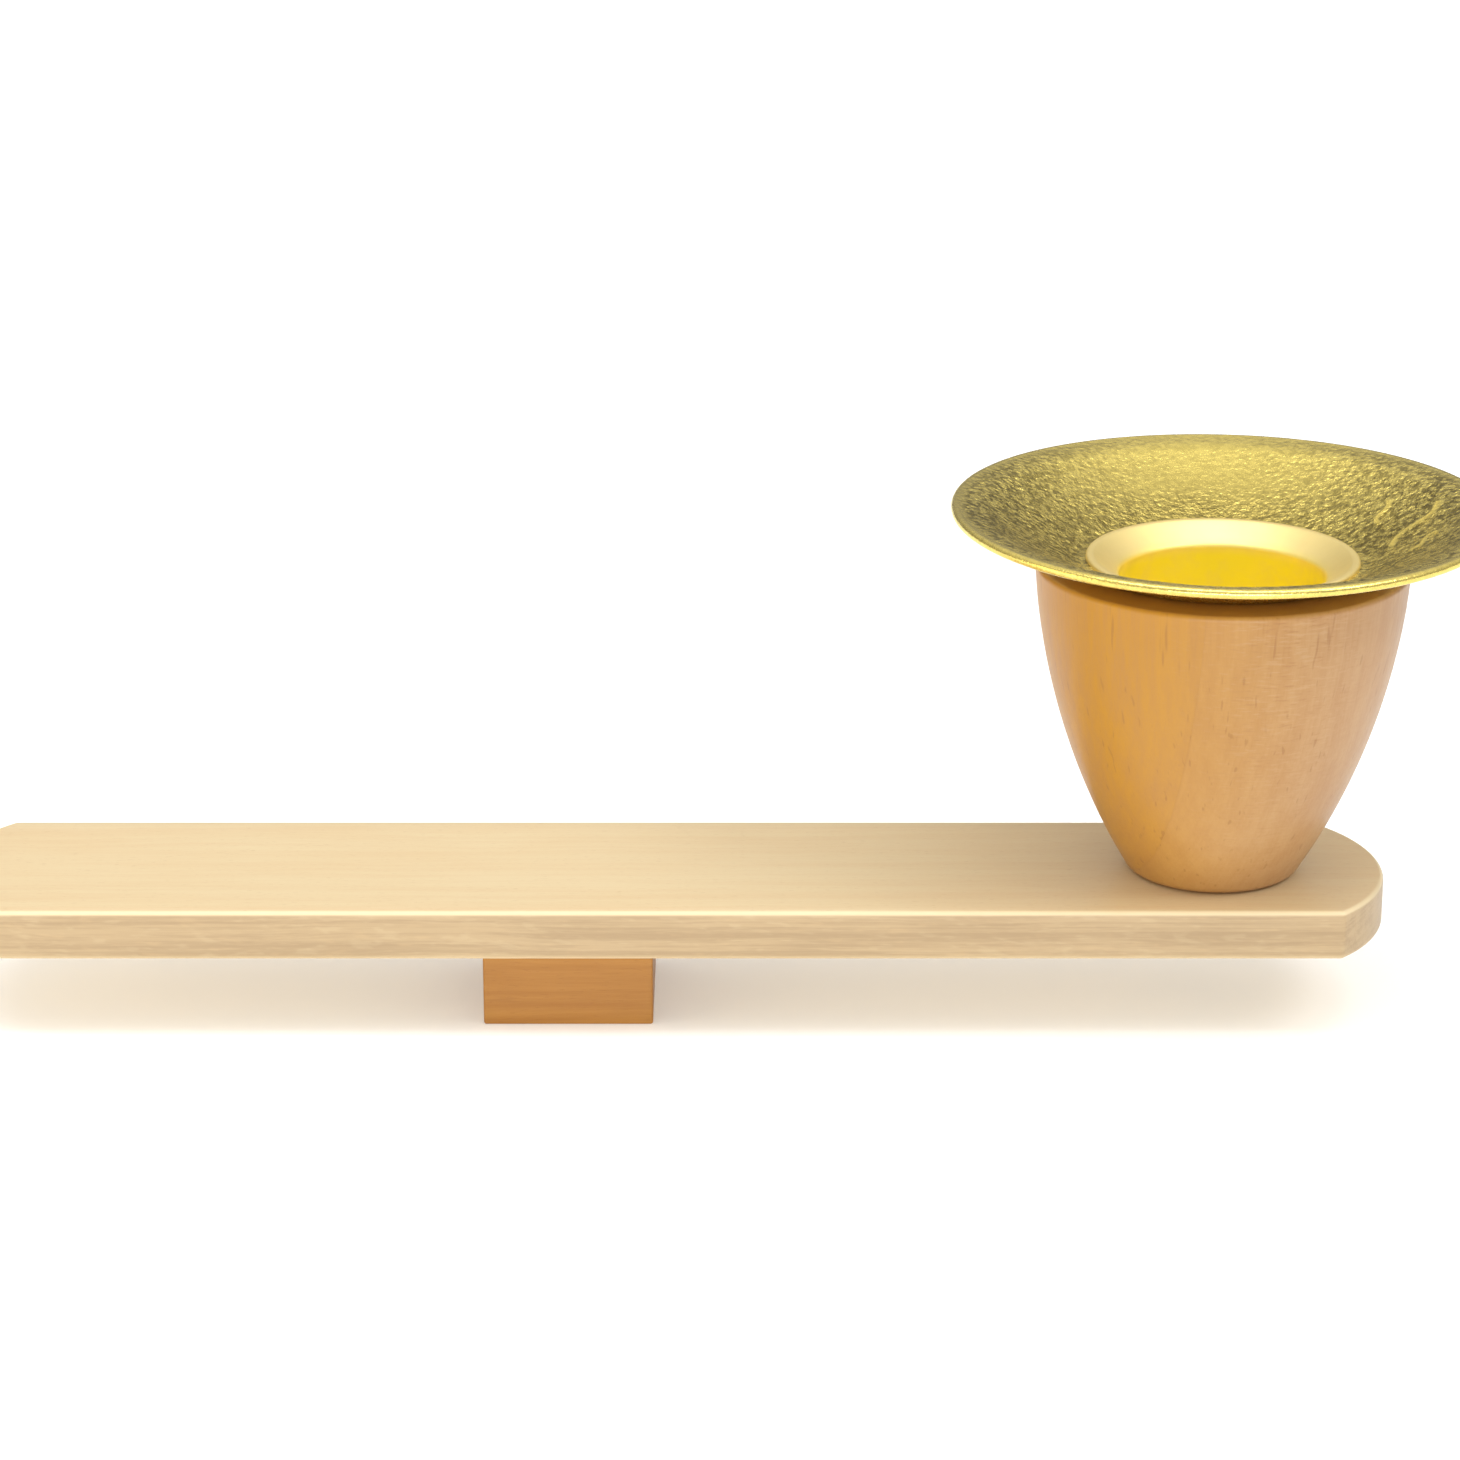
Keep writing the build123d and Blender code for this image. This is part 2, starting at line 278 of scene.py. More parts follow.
def offset_line(line, distance):
    """The line moved sideways, to its left for a positive distance.

    Each point moves by the distance along its normal: the tangent, taken from the points on
    both sides, turned a quarter turn to the left.
    """
    tangent = np.gradient(line, axis=0)
    tangent /= np.linalg.norm(tangent, axis=1, keepdims=True)
    return line + distance * np.stack([-tangent[:, 1], tangent[:, 0]], axis=-1)


def turned(profile, columns, centre=CUP_AXIS, base=CUP_TOP):
    """A grid of points: a profile of (radius, height) carried once round an upright axis.

    The point at angle t is the centre plus (r cos t, r sin t), and as high above the base as
    the profile says. The cup's axis and top are used where no others are given.
    """
    angle = np.linspace(0, 2 * math.pi, columns, endpoint=False)
    radius, height = np.hsplit(np.array(profile), 2)
    x = centre[0] + radius * np.cos(angle)
    y = centre[1] + radius * np.sin(angle)
    return np.stack([x, y, base + height + 0 * angle], axis=-1)


def grid_piece(name, points, looped=False):
    """A mesh of four-sided faces on a grid of points that closes from column to column.

    Face (i, j) joins the points (i, j), (i, j + 1), (i + 1, j + 1) and (i + 1, j). A looped
    grid closes from its last row to its first too. Rows that shrink to a point are welded.
    """
    rows, columns = points.shape[:2]
    row = np.arange(rows if looped else rows - 1)[:, None]
    column = np.arange(columns)[None, :]
    here, above = row * columns, (row + 1) % rows * columns
    following = (column + 1) % columns
    corners = [here + column, here + following, above + following, above + column]
    corners = np.stack(corners, axis=-1).reshape(-1, 4)
    mesh = bpy.data.meshes.new(name)
    mesh.vertices.add(rows * columns)
    mesh.vertices.foreach_set("co", points.reshape(-1))
    mesh.loops.add(corners.size)
    mesh.loops.foreach_set("vertex_index", corners.reshape(-1).astype(np.int32))
    mesh.polygons.add(len(corners))
    mesh.polygons.foreach_set("loop_start", np.arange(0, corners.size, 4, dtype=np.int32))
    mesh.update(calc_edges=True)
    if not looped:
        weld(mesh)
    piece = bpy.data.objects.new(name, mesh)
    bpy.context.scene.collection.objects.link(piece)
    return piece


def weld(mesh):
    """Joins points that lie on each other and drops the faces that this empties."""
    shape = bmesh.new()
    shape.from_mesh(mesh)
    bmesh.ops.remove_doubles(shape, verts=shape.verts, dist=0.002 * MM)
    bmesh.ops.dissolve_degenerate(shape, edges=shape.edges, dist=0.0005 * MM)
    shape.to_mesh(mesh)
    shape.free()


def smooth(piece, angle=35.0):
    """Shades a piece smooth, except over edges sharper than the angle in degrees."""
    mesh = piece.data
    mesh.polygons.foreach_set("use_smooth", np.ones(len(mesh.polygons), dtype=bool))
    mesh.set_sharp_from_angle(angle=math.radians(angle))


def drill(piece, holes):
    """Cuts round holes, each given as (centre, radius, low, high), and applies the cuts."""
    for number, (centre, radius, low, high) in enumerate(holes):
        wall = [(0.0, low), (radius, low), (radius, high), (0.0, high)]
        cutter = grid_piece(f"drill_{number}", turned(wall, DRILL_COLUMNS, centre, 0.0))
        cut = piece.modifiers.new(f"hole_{number}", "BOOLEAN")
        cut.operation = "DIFFERENCE"
        cut.solver = "EXACT"
        cut.object = cutter
        bpy.context.view_layer.update()
        evaluated = piece.evaluated_get(bpy.context.evaluated_depsgraph_get())
        old = piece.data
        piece.data = bpy.data.meshes.new_from_object(evaluated)
        piece.modifiers.clear()
        bpy.data.meshes.remove(old)
        bpy.data.objects.remove(cutter)


def finish_piece(piece, body, node, material):
    """Gives a piece its material and its body, and hides the node that it stands for."""
    piece.data.materials.clear()
    piece.data.materials.append(material)
    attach(piece, body)
    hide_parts(node)


# ---- Small fields for the hammered sheet ----

FIELD_CELLS = 256


def smooth_field(x, y, pitch, seed):
    """Random heights from -1 to 1 on a square lattice, blended between its points.

    Inside a lattice cell with corners at 0 and 1 the blend is 3 f^2 - 2 f^3 each way.
    """
    lattice = np.random.default_rng(seed).uniform(-1, 1, (FIELD_CELLS, FIELD_CELLS))
    across, up = x / pitch, y / pitch
    column, row = np.floor(across).astype(int), np.floor(up).astype(int)
    part_x, part_y = across - column, up - row
    blend_x = part_x**2 * (3 - 2 * part_x)
    blend_y = part_y**2 * (3 - 2 * part_y)

    def corner(right, above):
        return lattice[(column + right) % FIELD_CELLS, (row + above) % FIELD_CELLS]

    lower = corner(0, 0) * (1 - blend_x) + corner(1, 0) * blend_x
    upper = corner(0, 1) * (1 - blend_x) + corner(1, 1) * blend_x
    return lower * (1 - blend_y) + upper * blend_y


def dent_field(x, y, pitch, seed):
    """Depth of round hammer marks, from 0 on the ridges between them to 1 in their middles.

    Each lattice cell holds one mark at a random place. The depth is 1 less the square of the
    distance to the nearest mark, in cells, and never under 0.
    """
    places = np.random.default_rng(seed).uniform(0, 1, (FIELD_CELLS, FIELD_CELLS, 2))
    column, row = np.floor(x / pitch).astype(int), np.floor(y / pitch).astype(int)
    nearest = np.full(x.shape, 9.0)
    for right in (-1, 0, 1):
        for above in (-1, 0, 1):
            place = places[(column + right) % FIELD_CELLS, (row + above) % FIELD_CELLS]
            gap_x = column + right + place[..., 0] - x / pitch
            gap_y = row + above + place[..., 1] - y / pitch
            nearest = np.minimum(nearest, gap_x**2 + gap_y**2)
    return np.clip(1 - nearest, 0, 1)


def ripple(x, y):
    """Raised creases on the pan's right-hand side, from 0 beside them to 1 along their tops.

    Each crease is a line from one end to the other with one full sine wave across it. Its
    height falls off as exp(-(d / w)^2) with the distance d to the line and its half width w.
    """
    height = np.zeros(x.shape)
    for start, end, swing, half_width in (
        ((59.0, 1.0), (77.0, 19.0), 2.2, 1.0), ((63.0, -14.0), (73.0, -6.0), -1.4, 0.8),
        ((57.0, 24.0), (62.0, 35.0), 1.2, 0.7),
    ):
        part = np.linspace(0, 1, 40)
        run = np.subtract(end, start)
        wave = swing * np.sin(2 * np.pi * part)
        line_x = start[0] + part * run[0] - wave * run[1] / np.hypot(*run)
        line_y = start[1] + part * run[1] + wave * run[0] / np.hypot(*run)
        gap = (x[..., None] - line_x) ** 2 + (y[..., None] - line_y) ** 2
        height = np.maximum(height, np.exp(-gap.min(axis=-1) / half_width**2))
    return height


def fade(value, start, end):
    """0 before start and 1 after end, with a smooth rise between."""
    part = np.clip((value - start) / (end - start), 0, 1)
    return part * part * (3 - 2 * part)


# ---- Finishes: each is a tree of shader nodes ----

# How a piece of beech lies in its log. grain is the order in which the axes become (along the
# grain, along the rings, across the rings), and pith is where the rings have their centre.
# fleck is a ray's size in those directions. The shares say how much of each mark shows. Two of
# them are painted light: one darkens sides and ends as painted shade, and one paints a highlight
# on the rounded edges that turn up to the top.
PLAIN_CUT = {
    "cloud": 0.30, "edge_highlight": 0.0, "vein": 0.0, "lean": 0.0, "satin": 0.4, "glance": 4.0,
    "side_shade": 0.0,
}
BOARD_CUT = {
    "grain": "XYZ", "pith": (12.0, -150.0), "ring": 0.12, "streak": 0.22, "dash": 0.22,
    "cloud": 0.14, "edge_highlight": 0.9, "fleck": (9.0, 3.0, 2.2), "lean": 0.8, "satin": 0.09,
    "side_shade": 0.85,
}
BLOCK_CUT = {
    "grain": "XZY", "pith": (-60.0, 120.0), "ring": 0.16, "streak": 0.28, "dash": 0.18,
    "edge_highlight": 0.5, "vein": 0.2, "fleck": (2.4, 3.0, 5.0), "lean": 0.3,
}
CUP_CUT = {
    "grain": "ZYX", "pith": (60.0, 380.0), "ring": 0.08, "streak": 0.24, "dash": 0.06,
    "vein": 0.34, "fleck": (0.8, 3.0, 5.5), "lean": 0.04, "satin": 0.55, "glance": 10.0,
}
DOWEL_CUT = {
    "grain": "ZXY", "pith": (40.0, 90.0), "ring": 0.35, "streak": 0.3, "dash": 0.3,
    "fleck": (1.0, 2.0, 3.0),
}

# The fields that the hammered mesh hands to its finish, each from 0 to 1.
PAN_FIELDS = ("hollow", "struck", "raised", "low_back_shade")


class Nodes:
    """A node tree under construction. Its methods add one node each and return its output."""

    def __init__(self, tree):
        self.tree = tree
        self.tree.nodes.clear()

    def node(self, kind, values=(), output=0, **settings):
        """Adds a node. values pairs an input's name or number with a number or a socket."""
        added = self.tree.nodes.new(kind)
        for name, setting in settings.items():
            setattr(added, name, setting)
        for name, value in dict(values).items():
            if isinstance(value, bpy.types.NodeSocket):
                self.tree.links.new(value, added.inputs[name])
            else:
                added.inputs[name].default_value = value
        return added.outputs[output] if added.outputs else None

    def reckon(self, operation, first, second=0.0, third=0.0, clamp=False):
        values = {0: first, 1: second, 2: third}
        return self.node("ShaderNodeMath", values, operation=operation, use_clamp=clamp)

    def times(self, first, second):
        return self.reckon("MULTIPLY", first, second)

    def plus(self, start, value, factor=1.0, clamp=False):
        """start, plus value times factor."""
        return self.reckon("MULTIPLY_ADD", value, factor, start, clamp)

    def distance(self, first, second):
        """The square root of the sum of two squares."""
        return self.reckon("SQRT", self.plus(self.times(first, first), second, second))

    def split(self, vector):
        parts = self.tree.nodes.new("ShaderNodeSeparateXYZ")
        self.tree.links.new(vector, parts.inputs[0])
        return tuple(parts.outputs)

    def join(self, x, y, z):
        return self.node("ShaderNodeCombineXYZ", {0: x, 1: y, 2: z})

    def spread(self, value, low, high, start=0.0, end=1.0):
        """Maps low..high to start..end, smoothly, and holds it there outside."""
        values = {0: value, 1: low, 2: high, 3: start, 4: end}
        return self.node("ShaderNodeMapRange", values, interpolation_type="SMOOTHSTEP")


class Finish(Nodes):
    """A material under construction."""

    def __init__(self, name):
        self.material = bpy.data.materials.new(name)
        self.material.use_nodes = True
        super().__init__(self.material.node_tree)
        self.coordinates = self.tree.nodes.new("ShaderNodeTexCoord").outputs

    def place(self, centre=(0.0, 0.0, 0.0)):
        """Object coordinates in millimetres, from a centre given in metres."""
        return self.node("ShaderNodeMapping", {
            "Vector": self.coordinates["Object"], "Scale": (1 / MM, 1 / MM, 1 / MM),
            "Location": [-float(value) / MM for value in centre],
        })

    def rotated(self, vector, angle):
        values = {"Vector": vector, "Angle": angle}
        return self.node("ShaderNodeVectorRotate", values, rotation_type="Z_AXIS")

    def reordered(self, vector, letters):
        axes = dict(zip("XYZ", self.split(vector)))
        return [axes[letter] for letter in letters]

    def stretched(self, parts, scales):
        return self.join(*[self.times(part, scale) for part, scale in zip(parts, scales)])

    def noise(self, place, scale, detail, roughness=0.5):
        values = {"Vector": place, "Scale": scale, "Detail": detail, "Roughness": roughness}
        return self.node("ShaderNodeTexNoise", values)

    def streaks(self, parts, scales, detail, roughness=0.5):
        """Noise with a scale of its own along each axis."""
        return self.noise(self.stretched(parts, scales), 1.0, detail, roughness)

    def blend(self, factor, first, second):
        values = {0: factor, 6: first, 7: second}
        return self.node("ShaderNodeMix", values, 2, data_type="RGBA")

    def bump(self, strength, distance, relief):
        values = {"Strength": strength, "Distance": distance, "Height": relief}
        return self.node("ShaderNodeBump", values)

    def done(self, values):
        """Adds the surface shader and the output, and returns the material."""
        shader = self.node("ShaderNodeBsdfPrincipled", values)
        self.node("ShaderNodeOutputMaterial", {"Surface": shader})
        return self.material

    def metal(self, tint, rough, bump):
        return self.done({"Base Color": tint, "Metallic": 1.0, "Roughness": rough, "Normal": bump})


def rgba(channels, tones=(1.0, 1.0, 1.0)):
    """A colour for a socket: each channel times its tone, and at most 1."""
    return (*[min(1.0, channel * tone) for channel, tone in zip(channels, tones)], 1.0)


def beech(name, pale, deep, cut):
    """Oiled beech, worked out through the whole piece, so that every face shows its own cut.

    Rings are cylinders round the pith. Rays are thin sheets across the rings: dark dashes
    where a face cuts through them, and pale satin flecks where it lies along them. A cut with
    a seam is glued up from two staves, turned about the cup's axis.
    """
    settings = bpy.context.scene.rack_beech
    cut = {**PLAIN_CUT, **cut}
    finish = Finish(name)
    plus, times = finish.plus, finish.times
    spread, blend = finish.spread, finish.blend
    place, normal = finish.place(), finish.coordinates["Normal"]
    if "turn" in cut:
        place = finish.rotated(finish.place(CUP_AXIS), -cut["turn"])
        normal = finish.rotated(normal, -cut["turn"])
    along, round_rings, across = finish.reordered(place, cut["grain"])
    n_along, n_round, n_across = finish.reordered(normal, cut["grain"])

    # The second stave lies past the seam, with its own rings.
    if "seam" in cut:
        past = plus(across, cut["seam"])
        stave = finish.reckon("LESS_THAN", past, 0.0)
        seam = spread(finish.reckon("ABSOLUTE", past), 0.1, 0.6, 1.0, 0.0)
        # Towards the cup's left the tone turns warmer and deeper: painted warm shade on that side.
        warm = spread(across, -62.0, 24.0, 1.0, 0.0)
        round_rings = plus(round_rings, stave, 143.0)

    # The grain wanders a little from side to side.
    wander = finish.streaks((along, round_rings, across), (0.006, 0.02, 0.02), 2.0)
    wander = plus(-7.0, wander, 14.0)
    round_rings = plus(round_rings, wander)
    across = plus(across, wander, 0.6)
    wood = (along, round_rings, across)

    # Rings: the part of a year's growth, which ends in a thin dark line.
    from_pith = [plus(part, -pith) for part, pith in zip(wood[1:], cut["pith"])]
    age = finish.reckon("DIVIDE", finish.distance(*from_pith), settings.ring_pitch / MM)
    uneven = finish.noise(finish.join(times(along, 0.002), 0.0, age), 0.37, 1.0)
    year = finish.reckon("FRACT", plus(age, uneven, 3.0))
    ring = times(spread(year, 0.2, 0.85), spread(year, 0.85, 1.0, 1.0, 0.0))

    fibre = finish.streaks(wood, (0.05, 1.6, 1.6), 4.0, 0.62)
    streak = finish.streaks(wood, (0.006, 0.26, 0.22), 2.0, 0.45)
    cloud = finish.streaks(wood, (0.012, 0.035, 0.03), 2.0)
    depth = times(ring, cut["ring"])
    depth = plus(depth, spread(streak, 0.32, 0.68), cut["streak"])
    depth = plus(depth, spread(cloud, 0.3, 0.7), cut["cloud"])
    depth = plus(depth, spread(fibre, 0.3, 0.7), 0.18)
    depth = plus(depth, -0.10, clamp=True)
    tint = blend(depth, rgba(pale), rgba(deep))
    if "seam" in cut:
        # The painted warm shade of the left side, with a little of the second stave's own tone,
        # and deeper grain under it.
        warm_shade_and_stave = plus(times(warm, 0.86), stave, 0.11, clamp=True)
        tint = blend(warm_shade_and_stave, tint, rgba(settings.cup_left_shade))
        tint = blend(times(depth, warm_shade_and_stave), tint, rgba(deep))

    # Faces that are not level, the board's front, back and ends, are painted darker than the
    # planed face as painted shade, and keep its streaks.
    side_shade_pale, side_shade_deep = rgba(deep, (0.62, 0.63, 0.66)), rgba(deep, (0.47, 0.46, 0.47))
    side_shade_tone = blend(spread(depth, 0.05, 0.45), side_shade_pale, side_shade_deep)
    off_face = plus(1.0, finish.reckon("ABSOLUTE", n_across), -1.0)
    tint = blend(times(off_face, cut["side_shade"]), tint, side_shade_tone)

    # Rays: flecks as long across the rings as the cut says, leaning a little with the grain.
    darker, lighter = rgba(deep, (0.66, 0.54, 0.42)), rgba(pale, (1.06, 1.10, 1.16))
    on_ray = finish.reckon("POWER", finish.reckon("ABSOLUTE", n_round), cut["glance"])
    leaning = (plus(along, across, cut["lean"]), round_rings, across)
    ray = finish.streaks(leaning, [1 / size for size in cut["fleck"]], 2.0)
    shade = times(spread(ray, 0.28, 0.44, 1.0, 0.0), on_ray)
    fleck = times(spread(ray, 0.54, 0.70), on_ray)
    dash = spread(finish.streaks(wood, (0.30, 2.0, 0.12), 1.0), 0.62, 0.74)
    dash = times(dash, plus(1.0, on_ray, -1.0))
    tint = blend(times(dash, cut["dash"]), tint, darker)
    tint = blend(times(shade, 1.2 * cut["satin"]), tint, rgba(deep))
    tint = blend(times(fleck, cut["satin"]), tint, lighter)

    # Where a side turns over to the planed face, the rounded edge is painted paler: a painted
    # highlight.
    level = finish.reckon("MAXIMUM", n_across, 0.0)
    upright = finish.reckon("SQRT", plus(1.0, times(level, -1.0), level))
    edge = spread(times(level, upright), 0.20, 0.48, 0.0, cut["edge_highlight"])
    tint = blend(edge, tint, lighter)

    # Now and then a darker mineral streak.
    vein = spread(finish.streaks(wood, (0.035, 0.55, 0.55), 1.0, 0.4), 0.66, 0.76)
    tint = blend(times(vein, cut["vein"]), tint, darker)

    # End grain takes up more oil and shows open pores. Its tone is also darkened by the sides'
    # painted shade.
    on_end = finish.reckon("POWER", finish.reckon("ABSOLUTE", n_along), 6.0)
    pore = finish.stretched(wood, (0.05, 2.2, 2.2))
    pore = finish.node("ShaderNodeTexVoronoi", {"Vector": pore, "Scale": 1.0})
    pore = spread(pore, 0.12, 0.3, 1.0, 0.0)
    end_tone = rgba(deep, [1 - 0.5 * cut["side_shade"]] * 3)
    end_tint = blend(times(pore, 0.4), end_tone, darker)
    tint = blend(times(on_end, 0.65), tint, end_tint)
    if "seam" in cut:
        tint = blend(times(seam, 0.09), tint, darker)

    gloss = plus(plus(0.34, fibre, 0.16), fleck, -0.08)
    relief = plus(fibre, dash, -0.5)
    relief = plus(relief, pore, times(on_end, -0.8))
    return finish.done({
        "Base Color": tint, "Roughness": gloss, "Normal": finish.bump(0.22, 0.06 * MM, relief),
        "Specular IOR Level": 0.42, "Coat Weight": 0.12, "Coat Roughness": 0.22,
    })


def hammered_brass():
    """Polished sheet brass whose marks hold a little tarnish, with a fine crinkle between them."""
    settings = bpy.context.scene.rack_pan
    finish = Finish("hammered_brass")
    plus, times = finish.plus, finish.times
    spread, blend = finish.spread, finish.blend
    place = finish.place()
    hollow, struck, raised, low_back_shade = (
        finish.node("ShaderNodeAttribute", output=2, attribute_name=name) for name in PAN_FIELDS
    )
    crinkle = finish.noise(place, 0.50, 2.0)
    grain = finish.noise(place, 1.6, 2.0)
    cloud = finish.noise(place, 0.045, 3.0, 0.55)
    shift = {0: place, 1: (31.0, 57.0, 13.0)}
    elsewhere = finish.node("ShaderNodeVectorMath", shift, operation="ADD")
    speck = finish.noise(elsewhere, 0.44, 2.0, 0.55)
    # Where few marks were struck the brass stays bright; under the pan this is painted light on
    # its shaded underside.
    marked = plus(0.15, struck, 0.85)
    darkening = plus(-0.16, spread(hollow, 0.35, 0.95), 0.30)
    darkening = plus(darkening, spread(cloud, 0.35, 0.7), 0.22)
    darkening = plus(darkening, spread(grain, 0.42, 0.72), 0.26)
    darkening = plus(darkening, spread(speck, 0.46, 0.56), 0.66, clamp=True)
    # Here and on the next line the low back near the lip is painted towards the tarnish colour:
    # painted shade for the dark that it reflects.
    darkening = times(times(darkening, marked), plus(1.0, low_back_shade, -0.65))
    # The creases' tops are painted bright brass, clear of tarnish: a painted highlight.
    darkening = plus(plus(darkening, low_back_shade, 0.52), raised, -1.4, clamp=True)
    tint = blend(darkening, rgba(settings.brass), rgba(settings.tarnish))
    rough = plus(settings.roughness - 0.06, grain, 0.14)
    rough = plus(plus(rough, darkening, 0.10), raised, 0.34)
    relief = times(plus(crinkle, grain, 0.30), marked)
    relief = times(relief, plus(1.0, raised, -0.8))
    return finish.metal(tint, rough, finish.bump(1.0, 1.1 * MM, relief))


def spun_brass():
    """Brass spun on a lathe: fine rings round the cup's axis under a satin polish."""
    settings = bpy.context.scene.rack_socket
    finish = Finish("spun_brass")
    place = finish.place(CUP_AXIS)
    x, y, z = finish.split(place)
    turning = finish.join(finish.distance(y, x), z, 0.0)
    rings = finish.noise(turning, 4.5, 3.0, 0.7)
    broad = finish.noise(turning, 0.7, 2.0)
    smear = finish.noise(place, 0.12, 4.0, 0.6)
    throat = (CUP_TOP - settings.cone_drop) / MM
    change = (throat - 2.0, throat + 5.0)
    # Below the throat the brass takes a purer yellow than the lip: a painted reflection of the
    # light that the walls inside throw onto each other.
    inside = finish.spread(z, *change, 1.0, 0.0)
    tint = finish.blend(inside, rgba(settings.brass), rgba(settings.inside_reflection_tint))
    darkening = finish.spread(smear, 0.35, 0.75, 0.0, 0.25)
    tint = finish.blend(darkening, tint, rgba(settings.brass, [0.86] * 3))
    rough = finish.spread(z, *change, settings.inner_roughness, settings.roughness)
    rough = finish.plus(finish.plus(rough, -0.06), rings, 0.12)
    rough = finish.plus(rough, smear, 0.10)
    relief = finish.plus(rings, broad, 1.2)
    return finish.metal(tint, rough, finish.bump(0.28, 0.03 * MM, relief))


def small_metal(name, tone, roughness, centre):
    """Turned or plated metal for fasteners: fine rings round a centre, and a few dull patches."""
    finish = Finish(name)
    place = finish.place(centre)
    x, y, z = finish.split(place)
    rings = finish.noise(finish.join(finish.distance(y, x), z, 0.0), 5.0, 2.0, 0.6)
    patch = finish.noise(place, 0.4, 4.0, 0.6)
    dull = finish.spread(patch, 0.45, 0.8, 0.0, 0.6)
    tint = finish.blend(dull, rgba(tone), rgba(tone, [0.62] * 3))
    rough = finish.plus(roughness - 0.1, patch, 0.22)
    return finish.metal(tint, rough, finish.bump(0.3, 0.03 * MM, rings))


def floor_finish():
    """A plain pale floor with a faint unevenness, lit a little from within like a light table."""
    finish = Finish("pale_floor")
    cloud = finish.noise(finish.coordinates["Object"], 0.8, 2.0)
    tone = bpy.context.scene.rack_stage.floor
    return finish.done({
        "Base Color": finish.blend(cloud, rgba(tone), rgba(tone, [0.985] * 3)), "Roughness": 0.7,
        "Specular IOR Level": 0.2, "Emission Color": (1.0, 1.0, 0.99, 1.0),
        "Emission Strength": 0.28,
    })


# ---- The board and the block ----


def board_outline(left, right, half_width, end_radius, corner, step):
    """The board's plan, anticlockwise, as points and the outward normals at them.

    Each end is an arc about a centre end_radius inside its tip. The corner's arc has its
    centre where a strip narrowed by the corner's radius meets an end arc reduced by it, so
    that it touches both. The second half of the plan is the first turned half a turn.
    """
    centre = right - end_radius
    middle = (left + right) / 2
    inner = half_width - corner
    corner_x = centre + math.sqrt((end_radius - corner) ** 2 - inner**2)
    limit = math.atan2(inner, corner_x - centre)
    end = np.linspace(-limit, limit, math.ceil(2 * limit * end_radius / step))
    bend = np.linspace(limit, math.pi / 2, CORNER_POINTS)[1:]
    back = np.linspace(math.pi / 2, math.pi - limit, CORNER_POINTS)[:-1]
    run_points = math.ceil(2 * (corner_x - middle) / step)
    run = np.linspace(corner_x, 2 * middle - corner_x, run_points)[1:-1]
    x = np.concatenate([
        centre + end_radius * np.cos(end), corner_x + corner * np.cos(bend), run,
        2 * middle - corner_x + corner * np.cos(back),
    ])
    y = np.concatenate([
        end_radius * np.sin(end), inner + corner * np.sin(bend), np.full(len(run), half_width),
        inner + corner * np.sin(back),
    ])
    turn = np.concatenate([end, bend, np.full(len(run), math.pi / 2), back])
    half = np.stack([x - middle, y], axis=-1)
    normals = np.stack([np.cos(turn), np.sin(turn)], axis=-1)
    return np.concatenate([half, -half]) + (middle, 0.0), np.concatenate([normals, -normals])


def slab(outline, normals, spine, low, high, edge_round):
    """A board as a grid: its outline carried up a rounded edge and drawn in to a spine.

    Level k of the edge stands in from the outline by R (1 - cos a) and above the underside by
    R (1 - sin a), with a from 90 degrees to 0, and the same in reverse at the top. Inside the
    edge each row lies part of the way from the outline to the nearest point of the spine.
    """
    angle = np.linspace(0, math.pi / 2, 7)
    inset = edge_round * (1 - np.sin(angle))
    rise = edge_round * (1 - np.cos(angle))
    side = np.linspace(low + edge_round, high - edge_round, 6)[1:-1]
    inset = np.concatenate([inset, np.zeros(len(side)), inset[::-1]])
    height = np.concatenate([low + rise, side, high - rise[::-1]])
    edge = outline[None] - inset[:, None, None] * normals[None]
    edge = np.concatenate([edge, np.broadcast_to(height[:, None, None], (*edge.shape[:2], 1))], -1)
    nearest = np.stack([np.clip(outline[:, 0], *spine), np.zeros(len(outline))], axis=-1)
    part = np.linspace(0, 1, 7)[:-1, None, None]

    def face(row, level):
        flat = nearest[None] * (1 - part) + row[None, :, :2] * part
        return np.concatenate([flat, np.full((*flat.shape[:2], 1), level)], axis=-1)

    return np.concatenate([face(edge[0], low), edge, face(edge[-1], high)[::-1]])


class RACK_OT_board(Operator):
    """Makes the planed beech board with its bowed ends, soft edges and drilled holes"""

    bl_idname = "rack.board"
    bl_label = "Board"

    def execute(self, context):
        settings = context.scene.rack_beech
        half = (BOARD_HIGH[1] - BOARD_LOW[1]) / 2
        rounding = (settings.end_radius, settings.corner_round)
        outline, normals = board_outline(BOARD_LOW[0], BOARD_HIGH[0], half, *rounding, 4 * MM)
        spine = (BOARD_LOW[0] + half, BOARD_HIGH[0] - half)
        points = slab(outline, normals, spine, BOARD_LOW[2], BOARD_TOP, settings.edge_round)
        piece = grid_piece("planed_board", points)
        seat = WASHER_HIGH[2]
        washer_radius = (WASHER_HIGH[0] - WASHER_LOW[0]) / 2
        bolt_radius = 4.5 * MM
        screw_radius = 2.3 * MM
        dowel_radius = (DOWELS_HIGH[0] - DOWELS_LOW[0]) / 2 + GLUE_GAP
        dowel_y = DOWELS_HIGH[1] - dowel_radius + GLUE_GAP
        holes = [
            (CUP_AXIS, bolt_radius, seat - MM, BOARD_TOP + MM),
            (CUP_AXIS, washer_radius + MM, BOARD_LOW[2] - MM, seat),
        ]
        for y in (dowel_y, -dowel_y):
            holes.append(((CUP_AXIS[0], y), dowel_radius, DOWELS_LOW[2] - MM, BOARD_TOP + MM))
        for place in SCREW_PLACES:
            holes.append((place, screw_radius, BOARD_LOW[2] - MM, SCREWS_HIGH[2] + MM))
        drill(piece, holes)
        smooth(piece)
        material = beech("beech_board", settings.board_pale, settings.board_deep, BOARD_CUT)
        finish_piece(piece, "rack", "board", material)
        return {"FINISHED"}


